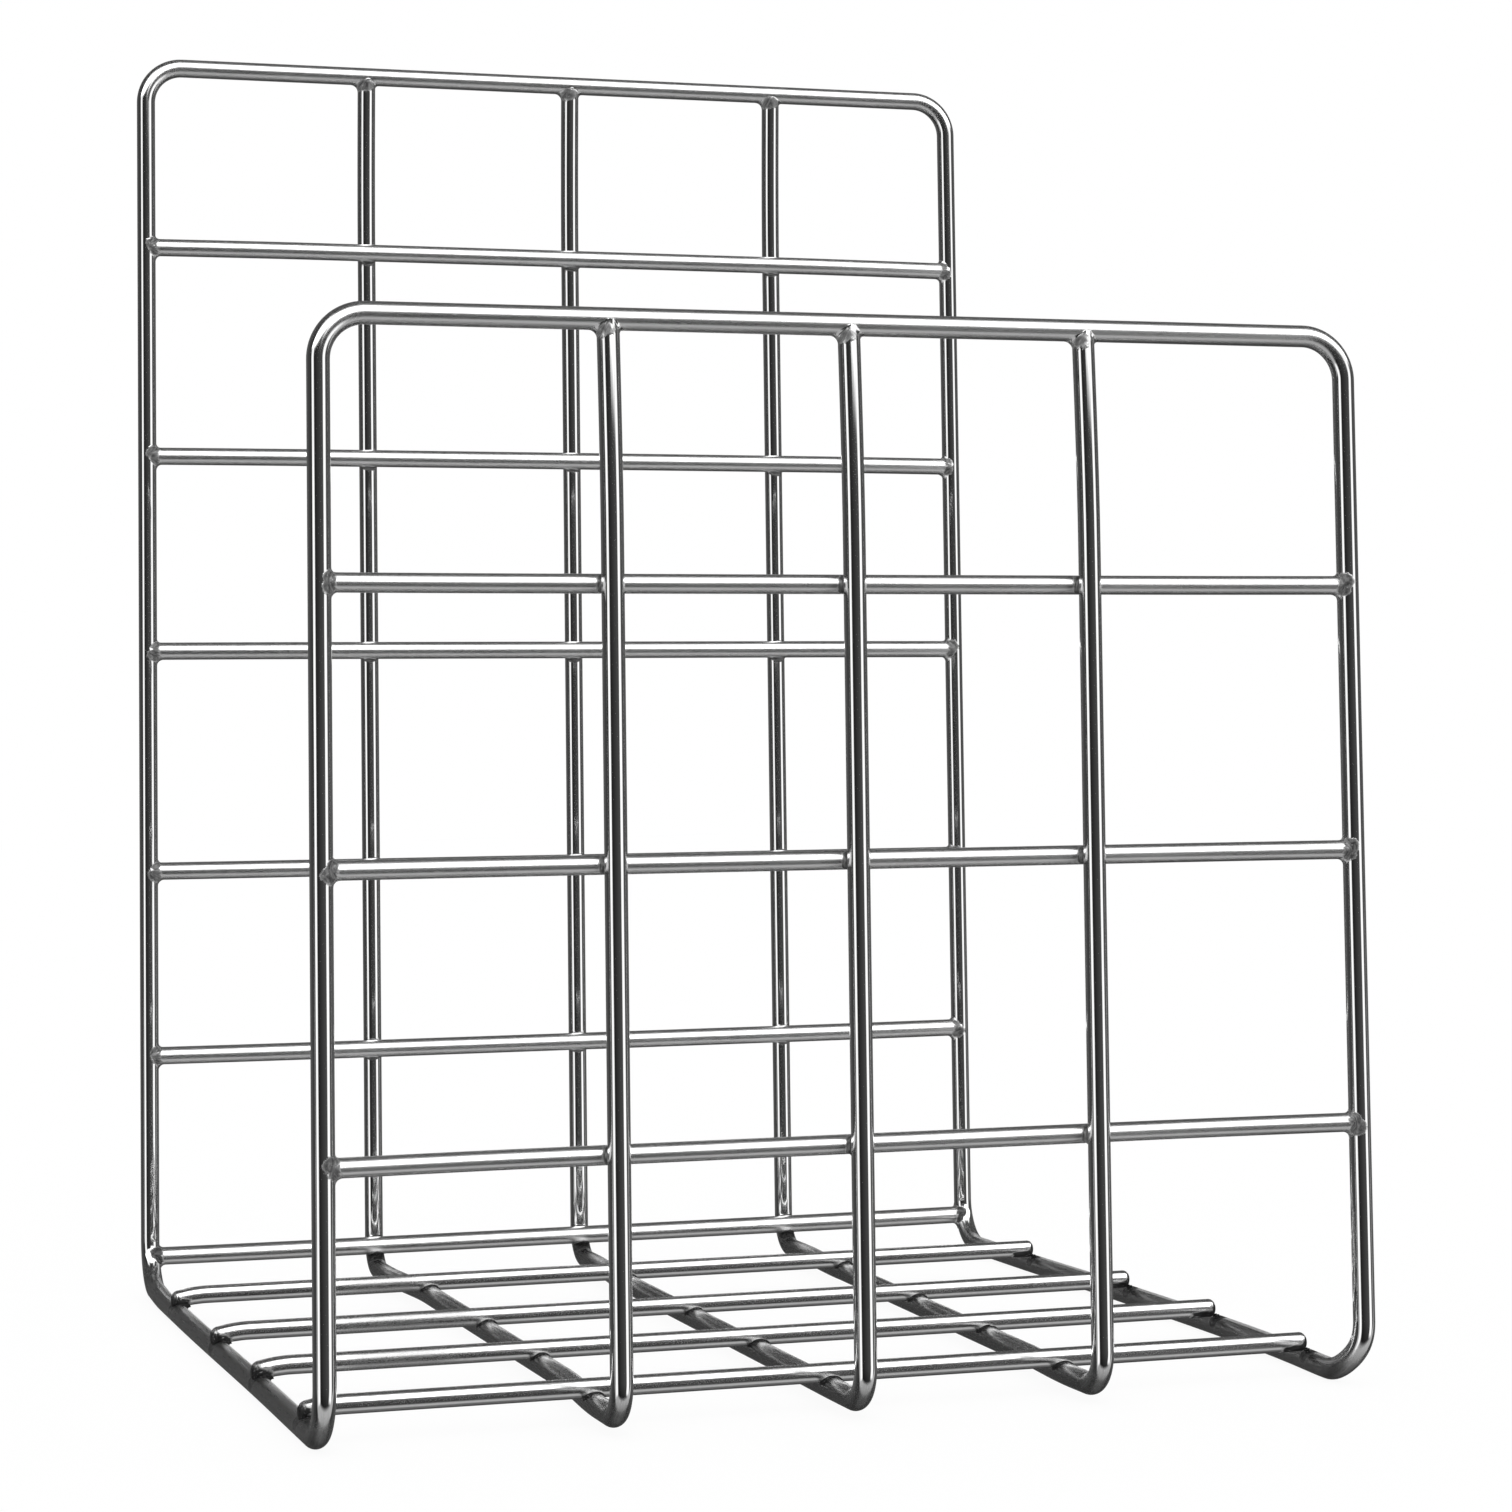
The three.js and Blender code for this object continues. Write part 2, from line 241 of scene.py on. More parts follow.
def note_all_weld_and_shade_spots():
    for z in BACK_ROWS:
        note_foot_welds(low_bend(z)[0] - 1.2, z, z_rate=0.37, side_rate=2.1, rise_rate=1.7)
    for z in FRONT_ROWS:
        note_foot_welds(-HALF_D - 1.2, z, z_rate=0.41, side_rate=1.3, rise_rate=1.9)
    for y, *ends in FLOOR_ROWS:
        for end, out_x, out_y, up, radius in FLOOR_END_SPOTS:
            note_weld_and_shade((ends[end] + out_x, y + out_y, FLOOR_Z + up), radius)
    last_z = BACK_ROWS[5]
    # spots where cross wires lie on the inner wires: welds, and painted shade just under the
    # cross wire
    for name, xs in INNER.items():
        for z in BACK_ROWS:
            note_weld_and_shade((inner_x(name, HALF_D, z), HALF_D - 0.1, z - 0.3), 2.4)
        # painted shade: a dark spot on the inner wire's front just under the lowest back cross
        # wire
        note_weld_and_shade((inner_x(name, HALF_D, last_z), HALF_D - 1.4, last_z - 2.8), 2.7)
        for z in FRONT_ROWS:
            note_weld_and_shade((inner_x(name, -HALF_D, z) - 0.5, -HALF_D + 0.1, z), 2.4)
        for y, _, _ in FLOOR_ROWS:
            # painted shade: floor crossing spots also paint the contact shadow under the cross
            # wire
            note_weld_and_shade((inner_x(name, y, FLOOR_Z), y, FLOOR_Z + INNER_RISE + 1.0), 2.1)
        note_weld_and_shade((xs[0] - 0.4, HALF_D - 0.4, BACK_Z - 2.2), 2.2)
        note_weld_and_shade((xs[5] - 0.4, -HALF_D - 0.4, FRONT_Z - 2.2), 2.2)


note_all_weld_and_shade_spots()


def weld_and_shade_factor(points):
    best = np.zeros(len(points))
    for centre, radius in WELD_AND_SHADE_SPOTS:
        near = np.abs(points - centre).max(1) < radius * 1.9
        if near.any():
            distance = np.linalg.norm(points[near] - centre, axis=1)
            spot = 1 - ramp(distance, radius * 0.68, radius * 0.5)
            best[near] = np.maximum(best[near], spot)
    return best


def satin_factor(points):
    """The floor sides and the lower half of the floor bends have a dull drawn skin."""
    low = 1 - ramp(points[:, 2] - FLOOR_Z, 1.6, 4.8)
    return low * (np.abs(points[:, 1]) < HALF_D + 4)


def patch_factor(points):
    """Floor cross wires: a matt stretch left of the left inner wire's crossing."""
    x, y, z = points.T
    on_floor = (z < FLOOR_Z + LAP + 3) & (np.abs(y) < HALF_D - 8) & (y > -60)
    left = -79 + (y - 4) * 0.18
    right = np.where(y > -20, -51.0, -64.0)
    return 0.92 * (ramp(x, left, 7) * (1 - ramp(x, right, 6))) * on_floor


# ---------------------------------------------------------------- meshes
class Skin:
    """Collects one piece's shells, with the values the materials read at each point."""

    def __init__(self, dip=0.0):
        self.points, self.wire, self.weld, self.level, self.faces = [], [], [], [], []
        self.count = 0
        self.dip = dip

    def add(self, points, wire, weld, level):
        self.points.append(points)
        self.wire.append(wire)
        self.weld.append(weld)
        self.level.append(level)
        self.count += len(points)

    def grid(self, rings, along, phi, radius, closed=False, roll=0, weld=0.0, level=0.0):
        """Skins (rings, points, 3) places. along, weld and level have one value for each
        ring or one for all. roll lines up the last ring with the first when closed."""
        n, m, _ = rings.shape

        def spread(value):
            return np.broadcast_to(np.asarray(value, float).reshape(-1, 1), (n, m))

        along, weld, level = spread(along), spread(weld), spread(level)
        index = self.count + np.arange(n * m).reshape(n, m)
        round_wire = [radius * turn(phi)[None].repeat(n, 0) for turn in (np.cos, np.sin)]
        wire = np.stack([along, *round_wire], -1)
        self.add(rings.reshape(-1, 3), wire.reshape(-1, 3), weld.reshape(-1), level.reshape(-1))
        a, b = index[:-1], index[1:]
        quads = [np.stack([a, np.roll(a, -1, 1), np.roll(b, -1, 1), b], -1).reshape(-1, 4)]
        if closed:
            a, b = index[-1], np.roll(index[0], -roll)
            quads.append(np.stack([a, np.roll(a, -1), np.roll(b, -1), b], -1))
        self.faces.extend(np.concatenate(quads).tolist())
        if closed:
            return
        for ring, flip in ((0, True), (n - 1, False)):
            cap = self.count
            self.add(
                rings[ring].mean(0)[None],
                np.array([[along[ring].mean(), 0, 0]]),
                np.array([weld[ring].mean()]),
                level[ring][:1],
            )
            loop = index[ring]
            for p, q in zip(loop.tolist(), np.roll(loop, -1).tolist()):
                self.faces.append([q, p, cap] if flip else [p, q, cap])

    def build(self, node, slot):
        name = "round_" + node
        points = np.concatenate(self.points)
        mesh = bpy.data.meshes.new(name)
        mesh.from_pydata((points * MM).tolist(), [], self.faces)
        mesh.validate()
        mesh.polygons.foreach_set("use_smooth", np.ones(len(mesh.polygons), bool))

        # each piece reads its own stretch of the textures
        seed = sum(ord(char) * (i + 3) for i, char in enumerate(node)) % 9973
        shift = np.random.RandomState(seed).uniform(-500, 500, 3) * np.array([1, 0, 0])
        shift = shift + np.array([0, 37.0 * (seed % 17), 0])
        wire = (np.concatenate(self.wire) + shift).astype(np.float32)
        vectors = mesh.attributes.new("wire", "FLOAT_VECTOR", "POINT")
        vectors.data.foreach_set("vector", wire.ravel())
        # dark spots: welds, and painted shade where wires touch
        weld = np.maximum(weld_and_shade_factor(points), np.concatenate(self.weld))
        values = {
            "weld": np.clip(weld, 0, 1),
            "satin": patch_factor(points) if slot == "cross_wire" else satin_factor(points),
            "level": np.concatenate(self.level),
            "dip": np.full(len(points), self.dip),
        }
        for key, value in values.items():
            attribute = mesh.attributes.new(key, "FLOAT", "POINT")
            attribute.data.foreach_set("value", value.astype(np.float32))
        mesh.materials.append(MATERIALS[slot])
        mesh.update()
        piece = bpy.data.objects.new(name, mesh)
        bpy.context.scene.collection.objects.link(piece)
        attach(piece, "root")
        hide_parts(node)
        return piece


def face_outward(piece):
    mesh = bmesh.new()
    mesh.from_mesh(piece.data)
    bmesh.ops.recalc_face_normals(mesh, faces=mesh.faces)
    mesh.to_mesh(piece.data)
    mesh.free()


# ---------------------------------------------------------------- paths
def look_ahead(marks, place):
    """Whether a joint is in reach, and the step allowed before the next one's reach."""
    ahead = marks[marks >= place]
    gap = float(ahead[0] - place - REACH) if len(ahead) else 1e9
    return float(np.abs(marks - place).min()) < REACH, max(FINE, gap)


class Path:
    """Straight runs joined by round bends."""

    def __init__(self, corners, radii, closed):
        corners = [np.array(corner, float) for corner in corners]
        count = len(corners)
        self.runs = []  # start, end, origin, heading, spoke, radius; the last two for bends
        self.length = 0.0
        first = (corners[0] + corners[1]) / 2 if closed else corners[0]
        cursor = first
        for i in range(1, count + 1 if closed else count - 1):
            corner = corners[i % count]
            before = unit(corner - corners[i - 1])
            after = unit(corners[(i + 1) % count] - corner)
            turn = math.acos(float(np.clip(before @ after, -1, 1)))
            radius = radii[i % count]
            setback = radius * math.tan(turn / 2)
            enter = corner - before * setback
            self.add_run(float(np.linalg.norm(enter - cursor)), cursor, before)
            inward = np.cross(unit(np.cross(before, after)), before)
            self.add_run(radius * turn, enter + inward * radius, before, -inward, radius)
            cursor = corner + after * setback
        end = first if closed else corners[-1]
        self.add_run(float(np.linalg.norm(end - cursor)), cursor, unit(end - cursor))

    def add_run(self, length, origin, heading, spoke=None, radius=None):
        end = self.length + length
        self.runs.append((self.length, end, origin, heading, spoke, radius))
        self.length = end

    def at(self, lengths):
        """Places and headings at lengths along the path."""
        places = np.zeros((len(lengths), 3))
        headings = np.zeros((len(lengths), 3))
        for start, end, origin, heading, spoke, radius in self.runs:
            here = (lengths >= start - 1e-9) & (lengths <= end + 1e-9)
            distance = lengths[here] - start
            if radius is None:
                places[here] = origin + distance[:, None] * heading
                headings[here] = heading
            else:
                angle = (distance / radius)[:, None]
                outward = np.cos(angle) * spoke + np.sin(angle) * heading
                places[here] = origin + radius * outward
                headings[here] = -np.sin(angle) * spoke + np.cos(angle) * heading
        return places, headings

    def where(self, point):
        """Length along the path of the nearest place to a point."""
        lengths = np.arange(0, self.length, 0.5)
        places, _ = self.at(lengths)
        return float(lengths[np.argmin(((places - np.array(point)) ** 2).sum(1))])

    def rings(self, marks, coarse):
        """Lengths of the rings: fine near the marks, coarse between them."""
        marks = np.array(sorted(marks))
        lengths = []
        for start, end, *_, radius in self.runs:
            if radius is not None:
                lengths.extend(np.linspace(start, end, BEND_STEPS + 1)[:-1].tolist())
                continue
            place = start
            while place < end - 1e-6:
                lengths.append(place)
                near, room = look_ahead(marks, place)
                place += FINE if near else min(coarse, room)
        lengths.append(self.length)
        lengths = np.array(lengths)
        lengths = lengths[np.concatenate([[True], np.diff(lengths) > 0.12])]
        if lengths[-1] < self.length:
            lengths[-1] = self.length
        return lengths


def transport(headings, first):
    """Carries a normal along a path without twisting it."""
    normals = [unit(first)]
    for before, after in zip(headings[:-1], headings[1:]):
        axis = np.cross(before, after)
        cosine = float(before @ after)
        normal = normals[-1]
        if np.linalg.norm(axis) > 1e-9:
            along_axis = axis * (axis @ normal) * (1 / (1 + cosine))
            normal = normal * cosine + np.cross(axis, normal) + along_axis
        normals.append(unit(normal - after * (normal @ after)))
    return np.array(normals)


def spokes(normals, sides):
    """Directions round the wire at each ring."""
    cosines = np.cos(PHI)[None, :, None]
    return normals[:, None] * cosines + sides[:, None] * np.sin(PHI)[None, :, None]


# ---------------------------------------------------------------- joints
def fan(first, last, share):
    """Unit directions a share of the way round from the first ones to the last ones."""
    angle = np.arccos(np.clip((first * last).sum(1), -1, 1))
    sine = np.maximum(np.sin(angle), 1e-6)
    mixed = (np.sin((1 - share) * angle) / sine)[:, None] * first
    mixed = mixed + (np.sin(share * angle) / sine)[:, None] * last
    return unit(np.where((angle < 1e-4)[:, None], first, mixed))


def butt_end(axis_at, round_wire, radius, point, way, heading, fillet, seed):
    """Rings of a flared wire end that butts against the frame wire.

    axis_at(D): the wire's axis at distances D before the frame wire's axis. round_wire:
    directions round the wire. point, way: a point on the frame wire's axis and its direction.
    heading: the way the end points. fillet: fillet radius in each direction."""
    aside = np.cross(heading, way)
    count = len(round_wire)
    distance = np.full(count, R_LONG)
    for _ in range(6):
        offset = (axis_at(distance) - point) @ aside + (radius + fillet) * (round_wire @ aside)
        distance = np.sqrt(np.maximum((R_LONG + fillet) ** 2 - offset**2, 0.04))
    rings = []
    for k in range(1, LEAD_STEPS + 1):
        share = k / LEAD_STEPS
        rings.append(axis_at(LEAD * (1 - share) + distance * share) + radius * round_wire)
    centre = axis_at(distance) + (radius + fillet)[:, None] * round_wire
    to_frame = -unit(across(centre - point, way))
    for k in range(1, FILLET_STEPS + 1):
        share = k / FILLET_STEPS
        waves = wobble(seed + 5, np.arange(count) * 0.55 + 3 * share, 1.3)
        bulge = 0.05 * math.sin(math.pi * share) * waves
        rings.append(centre + (fillet + bulge)[:, None] * fan(-round_wire, to_frame, share))
    # the last two rings tuck the edge under the frame wire's surface
    last = rings[-1]
    outward = unit(across(last - point, way))
    slide = unit(np.cross(np.cross(outward, round_wire), outward))
    rings.append(last + 0.16 * slide - 0.05 * outward)
    rings.append(axis_at(np.full(count, 0.7)) + 0.62 * radius * round_wire)
    return np.array(rings)


def lap_fillet(skin, on_axis, radius, seed, x, point, way, fillet, fuller=0.0, span=None):
    """The welded metal where a cross wire lies on a frame or inner wire, coloured dark for the
    welds and as painted shade in the crease.

    on_axis: a point on the cross wire's axis. point, way: a point on the other wire's axis
    and its direction. fuller: which side along way has more metal. span: angles round the
    joint, or None for all the way round."""
    point = np.array(point, float)
    to_other = point - on_axis
    between = to_other - EX * (to_other @ EX)
    between = between - way * (between @ way)
    gap = float(np.linalg.norm(between))
    between = between / gap
    # the point of the cross wire's axis nearest to the other axis
    shift = (to_other @ EX - (to_other @ way) * (EX @ way)) / (1 - (EX @ way) ** 2)
    origin = on_axis + EX * float(shift)

    if span is None:
        psi = np.linspace(0.0, 2 * math.pi, 64, endpoint=False)
    else:
        psi = np.linspace(*span, 44)
    cosine, sine = np.cos(psi), np.sin(psi)
    uneven = 0.22 * wobble(seed, cosine * 2.0) + 0.18 * wobble(seed + 1, sine * 2.2)
    rho = fillet * (1 + uneven) * (1 + 0.45 * np.clip(sine * fuller, -0.6, 1))
    if span is not None:
        edge = np.minimum(psi - span[0], span[1] - psi) / 0.7
        rho = rho * (0.25 + 0.75 * ease(edge))
    rho = np.clip(rho, 0.12, 1.5)

    # centres of the fillet's arcs, in (cross wire, between, other wire) coordinates
    low = gap - (R_LONG + rho)
    y = low + (radius + rho - low) * cosine**2
    z = np.sign(sine) * np.sqrt(np.maximum((radius + rho) ** 2 - y**2, 0))
    x_out = np.sqrt(np.maximum((R_LONG + rho) ** 2 - (y - gap) ** 2, 0))
    x_local = np.sign(cosine) * x_out
    centre = np.stack([x_local, y, z], -1)
    none = np.zeros_like(y)
    to_cross = unit(np.stack([none, -y, -z], -1))
    to_long = unit(np.stack([-x_local, gap - y, none], -1))

    def buried_edge(own, other):
        """Two rows that sink the fillet's edge into one wire: the deep and the shallow."""
        rim = centre + rho[:, None] * own
        tangent = unit(other - own * (own * other).sum(1)[:, None])
        return [rim + 0.45 * own, rim + 0.03 * own - 0.10 * tangent]

    rows = buried_edge(to_cross, to_long)
    for k in range(FILLET_STEPS + 1):
        share = k / FILLET_STEPS
        waves = wobble(seed + 7, psi * 2.3 + 2 * share, 1.6)
        bulge = 0.07 * math.sin(math.pi * share) * waves
        rows.append(centre + (rho + bulge)[:, None] * fan(to_cross, to_long, share))
    rows.extend(reversed(buried_edge(to_long, to_cross)))
    basis = np.stack([EX, between, way])
    rings = origin + np.array(rows).transpose(1, 0, 2) @ basis
    if np.linalg.det(basis) < 0:
        rings = rings[:, ::-1]
    phi = np.linspace(0, 2 * math.pi, rings.shape[1], endpoint=False)
    closed = span is None
    # the fillet is coloured dark: welded metal, and painted shade in the crease
    skin.grid(rings, x + psi * 1.5, phi, radius, closed=closed, weld=1.0, level=1.0)


# ---------------------------------------------------------------- shader nodes
class Nodes:
    """Short ways to add nodes to an emptied node tree."""

    def __init__(self, tree):
        self.tree = tree
        tree.nodes.clear()

    def new(self, kind, **props):
        node = self.tree.nodes.new(kind)
        for key, value in props.items():
            setattr(node, key, value)
        return node

    def put(self, socket, value):
        if isinstance(value, bpy.types.NodeSocket):
            self.tree.links.new(value, socket)
        else:
            socket.default_value = value

    def math(self, operation, a, b=None):
        node = self.new("ShaderNodeMath", operation=operation)
        self.put(node.inputs[0], a)
        if b is not None:
            self.put(node.inputs[1], b)
        return node.outputs[0]

    def add(self, a, b):
        return self.math("ADD", a, b)

    def times(self, a, b):
        return self.math("MULTIPLY", a, b)

    def vmath(self, operation, a, b):
        node = self.new("ShaderNodeVectorMath", operation=operation)
        self.put(node.inputs[0], a)
        self.put(node.inputs[1], b)
        return node.outputs["Value" if operation == "DOT_PRODUCT" else "Vector"]

    def split(self, vector):
        node = self.new("ShaderNodeSeparateXYZ")
        self.put(node.inputs[0], vector)
        return node.outputs

    def noise(self, vector, stretch, detail, rough, distortion=0.0):
        vector = self.vmath("MULTIPLY", vector, stretch)
        node = self.new("ShaderNodeTexNoise")
        self.put(node.inputs["Vector"], vector)
        node.inputs["Scale"].default_value = 1.0
        node.inputs["Detail"].default_value = detail
        node.inputs["Roughness"].default_value = rough
        node.inputs["Distortion"].default_value = distortion
        return node.outputs["Fac"]

    def remap(self, x, span, to=(0.0, 1.0), smooth=False):
        node = self.new("ShaderNodeMapRange", clamp=True)
        node.interpolation_type = "SMOOTHSTEP" if smooth else "LINEAR"
        self.put(node.inputs["Value"], x)
        for key, value in zip(("From Min", "From Max", "To Min", "To Max"), (*span, *to)):
            node.inputs[key].default_value = value
        return node.outputs["Result"]

    def mix(self, share, a, b):
        node = self.new("ShaderNodeMix", data_type="FLOAT")
        self.put(node.inputs[0], share)
        self.put(node.inputs[2], a)
        self.put(node.inputs[3], b)
        return node.outputs[0]

    def grey(self, value):
        node = self.new("ShaderNodeCombineColor")
        for i in range(3):
            self.put(node.inputs[i], value)
        return node.outputs[0]

    def band(self, x, span, soft):
        """1 inside the span, falling to 0 outside it over a soft edge."""
        start, end = span
        up = self.remap(x, span=(start - soft, start + soft), smooth=True)
        down = self.remap(x, span=(end - soft, end + soft), to=(1.0, 0.0), smooth=True)
        return self.times(up, down)


# ---------------------------------------------------------------- steel
# Noises over (length along the wire, two places across it), in cycles per millimetre
STEEL_NOISES = {
    "lines": dict(stretch=(0.03, 5.0, 5.0), detail=4.0, rough=0.6),
    "fine": dict(stretch=(0.12, 14.0, 14.0), detail=2.0, rough=0.5),
    "broad": dict(stretch=(0.09, 0.5, 0.5), detail=3.0, rough=0.55),
    "grain": dict(stretch=(2.4, 5.0, 5.0), detail=3.0, rough=0.6),
    "drag": dict(stretch=(0.16, 2.6, 2.6), detail=4.0, rough=0.6),
    "mottle": dict(stretch=(1.0, 1.0, 1.0), detail=3.0, rough=0.5, distortion=0.3),
    "specks": dict(stretch=(2.3, 2.3, 2.3), detail=1.0, rough=0.4),
}
POLISH_ROUGH = 0.05
LEVEL_ROUGH = 0.27  # where the wire runs side to side
DIP_POLISH = 0.07  # floor cross wires are this much less rough
DIP_TURN = math.radians(8.0)  # and their upper normals are turned by this
ACROSS_RACK = (-0.1, 0.1)  # metres, left to right


def steel_inputs(g):
    """The wire attributes, noises, places and finish masks that the steel is mixed from."""
    look = SimpleNamespace()
    wire = g.new("ShaderNodeAttribute", attribute_name="wire").outputs["Vector"]
    for key in ("weld", "satin", "level", "dip"):
        value = g.new("ShaderNodeAttribute", attribute_name=key).outputs["Fac"]
        setattr(look, key, value)
    for key, settings in STEEL_NOISES.items():
        setattr(look, key, g.noise(wire, **settings))

    # where each finish is, with an uneven edge
    edge = g.add(look.weld, g.remap(look.mottle, span=(0.3, 0.7), to=(-0.30, 0.26)))
    # the dark mask covers welds and painted shade where wires touch
    look.weld_mask = g.times(
        g.remap(edge, span=(0.2, 0.8), smooth=True),
        g.remap(look.weld, span=(0.02, 0.15)),
    )
    ragged = g.add(
        g.remap(look.grain, span=(0.3, 0.7), to=(-0.08, 0.08)),
        g.remap(look.drag, span=(0.3, 0.7), to=(-0.16, 0.16)),
    )
    look.satin_mask = g.times(
        g.remap(g.add(look.satin, ragged), span=(0.05, 0.95)),
        g.remap(look.satin, span=(0.02, 0.12)),
    )
    look.speck = g.times(g.remap(look.specks, span=(0.68, 0.74), smooth=True), 0.6)

    geometry = g.new("ShaderNodeNewGeometry")
    look.normal = geometry.outputs["Normal"]
    look.place = g.split(geometry.outputs["Position"])
    look.facing = g.split(look.normal)
    look.floor_zone = g.remap(look.place[2], span=(0.009, 0.014), to=(1.0, 0.0))
    return look


def painted_light_mask(g, look, painted_light_x, painted_light_z):
    """Painted light: the part of the satin skin that faces up and to the right, made pale and
    less metallic as if lit from above right.
    """
    slant = g.add(
        g.times(look.facing[0], g.remap(look.place[0], span=ACROSS_RACK, to=painted_light_x)),
        g.times(look.facing[2], g.remap(look.place[0], span=ACROSS_RACK, to=painted_light_z)),
    )
    return g.times(look.satin_mask, g.remap(slant, span=(0.84, 0.93), smooth=True))


def steel_brightness(g, look, painted_light, bright, dull):
    polished = g.times(
        g.remap(look.lines, span=(0.3, 0.72), to=(bright * 0.90, bright)),
        g.remap(look.broad, span=(0.35, 0.7), to=(0.95, 1.0)),
    )
    satin = g.times(
        g.remap(look.grain, span=(0.28, 0.72), to=(dull * 0.78, dull * 1.22)),
        g.remap(look.drag, span=(0.3, 0.7), to=(0.80, 1.18)),
    )
    # painted light: the satin is brighter at the front floor bends
    satin = g.times(satin, g.remap(look.place[1], span=(-0.108, -0.1035), to=(1.8, 1.0)))
    # painted light: satin facing up and to the right gets a pale grey
    satin = g.mix(painted_light, satin, 0.64)
    # painted shade: welds are darker near the floor, most of all on the floor cross wires, for
    # the shadow under the crossings
    painted_floor_shade = g.mix(
        look.dip,
        g.remap(look.floor_zone, span=(0.0, 1.0), to=(1.0, 0.5)),
        g.remap(look.floor_zone, span=(0.0, 1.0), to=(1.0, 0.2)),
    )
    burnt = g.times(g.remap(look.mottle, span=(0.34, 0.68), to=(0.02, 0.20)), painted_floor_shade)
    burnt = g.mix(look.speck, burnt, 0.6)
    return g.mix(look.weld_mask, g.mix(look.satin_mask, polished, satin), burnt)


def steel_metallic(g, look, painted_light):
    # painted light: satin facing up and to the right is less metallic, so the white diffuse light
    # shows on it
    loss = g.add(g.times(look.satin_mask, 0.07), g.times(painted_light, 0.55))
    solid = g.math("SUBTRACT", 1.0, loss)
    return g.mix(look.weld_mask, solid, g.mix(look.speck, 0.35, 1.0))


def steel_roughness(g, look, satin_rough):
    level_rough = g.mix(look.dip, LEVEL_ROUGH, LEVEL_ROUGH - DIP_POLISH)
    variation = g.add(
        g.remap(look.lines, span=(0.35, 0.75), to=(0.0, 0.012)),
        g.remap(look.broad, span=(0.45, 0.75), to=(0.0, 0.015)),
    )
    shine = g.add(g.mix(look.level, POLISH_ROUGH, level_rough), variation)
    matt = g.add(
        g.remap(look.grain, span=(0.3, 0.7), to=(satin_rough - 0.03, satin_rough + 0.03)),
        g.remap(look.drag, span=(0.3, 0.7), to=(-0.05, 0.05)),
    )
    burnt = g.mix(look.speck, g.remap(look.mottle, span=(0.3, 0.7), to=(0.34, 0.46)), 0.2)
    return g.mix(look.weld_mask, g.mix(look.satin_mask, shine, matt), burnt)


def steel_normal(g, look):
    drawn_lines = g.times(g.add(g.times(look.lines, 0.7), g.times(look.fine, 0.3)), 0.015)
    rubbed = g.times(g.add(look.grain, g.times(look.drag, 0.6)), 0.13)
    pitted = g.times(g.add(look.mottle, g.times(look.specks, 0.4)), 0.4)
    finishes = g.add(g.times(look.satin_mask, rubbed), g.times(look.weld_mask, pitted))
    bump = g.new("ShaderNodeBump")
    bump.inputs["Strength"].default_value = 1.0
    bump.inputs["Distance"].default_value = 0.00012
    g.put(bump.inputs["Height"], g.add(drawn_lines, finishes))
    turned = g.new("ShaderNodeVectorRotate", rotation_type="X_AXIS")
    g.put(turned.inputs["Vector"], look.normal)
    turn = g.remap(look.facing[2], span=(-0.12, 0.30), to=(0.0, DIP_TURN), smooth=True)
    g.put(turned.inputs["Angle"], g.times(look.dip, turn))
    g.put(bump.inputs["Normal"], turned.outputs[0])
    return bump.outputs[0]


def steel(name, bright, satin_level, satin_rough, painted_light_x=(0.50, 0.08), painted_light_z=(0.78, 0.96)):
    """Polished steel wire with a duller finish where "level" says the wire runs side to
    side, a matt skin where "satin" says and dark metal where "weld" says: welds, and
    painted shade where wires touch and near the floor. painted_light_x and painted_light_z weigh
    the sideways and upward facing of the satin with painted light, at the left and right sides."""
    material = bpy.data.materials.new(name)
    material.use_nodes = True
    g = Nodes(material.node_tree)
    output = g.new("ShaderNodeOutputMaterial")
    surface = g.new("ShaderNodeBsdfPrincipled")
    g.put(output.inputs[0], surface.outputs[0])
    look = steel_inputs(g)
    painted_light = painted_light_mask(g, look, painted_light_x, painted_light_z)
    low_weld_and_shade = g.times(look.weld_mask, look.floor_zone)
    brightness = steel_brightness(g, look, painted_light, bright, satin_level)
    g.put(surface.inputs["Base Color"], g.grey(brightness))
    g.put(surface.inputs["Metallic"], steel_metallic(g, look, painted_light))
    # welds and painted shade spots near the floor get a weaker specular
    g.put(surface.inputs["Specular IOR Level"], g.mix(low_weld_and_shade, 0.5, 0.1))
    g.put(surface.inputs["Roughness"], steel_roughness(g, look, satin_rough))
    g.put(surface.inputs["Normal"], steel_normal(g, look))
    # viewport look
    material.diffuse_color = (0.7, 0.71, 0.72, 1)
    material.metallic = 1.0
    material.roughness = 0.2
    return material


MATERIALS = {
    "frame_wire": steel("frame_wire_steel", bright=0.80, satin_level=0.24, satin_rough=0.32),
    "inner_wire": steel(
        "inner_wire_steel", bright=0.80, satin_level=0.17, satin_rough=0.27,
        painted_light_x=(0.62, 0.50), painted_light_z=(0.76, 0.85),
    ),
    "cross_wire": steel("cross_wire_steel", bright=0.82, satin_level=0.42, satin_rough=0.30),
}


